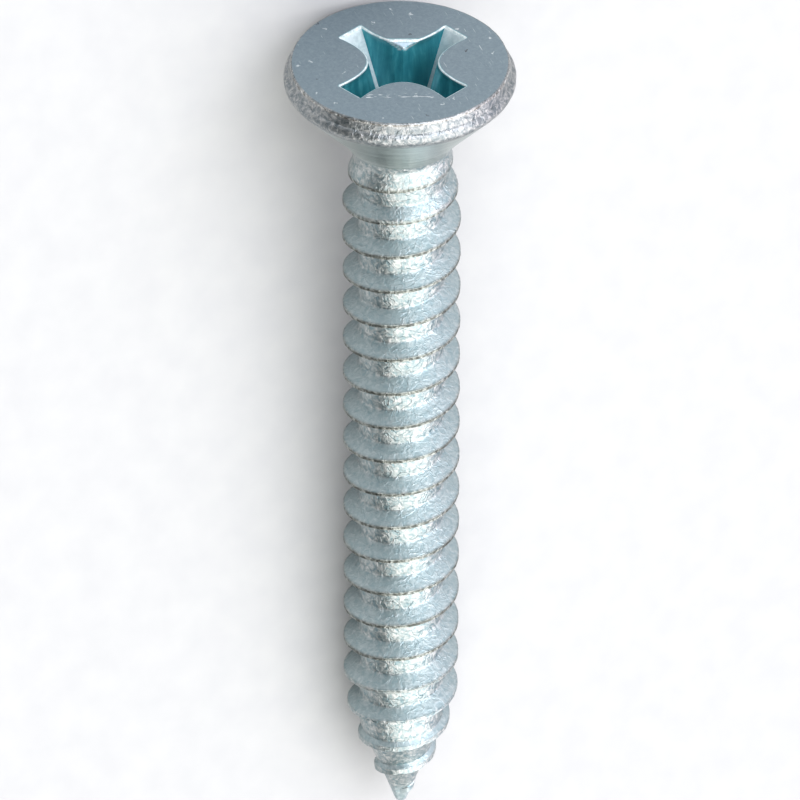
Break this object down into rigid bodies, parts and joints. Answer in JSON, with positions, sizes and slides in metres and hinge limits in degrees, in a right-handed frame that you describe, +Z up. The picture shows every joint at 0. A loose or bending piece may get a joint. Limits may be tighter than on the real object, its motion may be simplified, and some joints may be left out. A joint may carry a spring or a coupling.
{
  "type": "countersunk tapping screw",
  "caption": "Countersunk tapping screw with a cross recess, a coarse right-hand thread close up to the head and a conical point, in zinc-plated steel.",
  "frame": {"origin": "on the surface that the screw lies on, under the middle of its length and width", "axes": "+X from head to point along the lying screw, whose axis dips 4.4 degrees towards the point; +Z up"},
  "size_m": [0.0314, 0.0078, 0.0079],
  "materials": {
    "zinc_plated_steel": "cold-formed steel, electroplated with zinc and passivated to a pale blue, satin"
  },
  "bodies": {
    "root": {"screw": "zinc_plated_steel"}
  },
  "joints": []
}
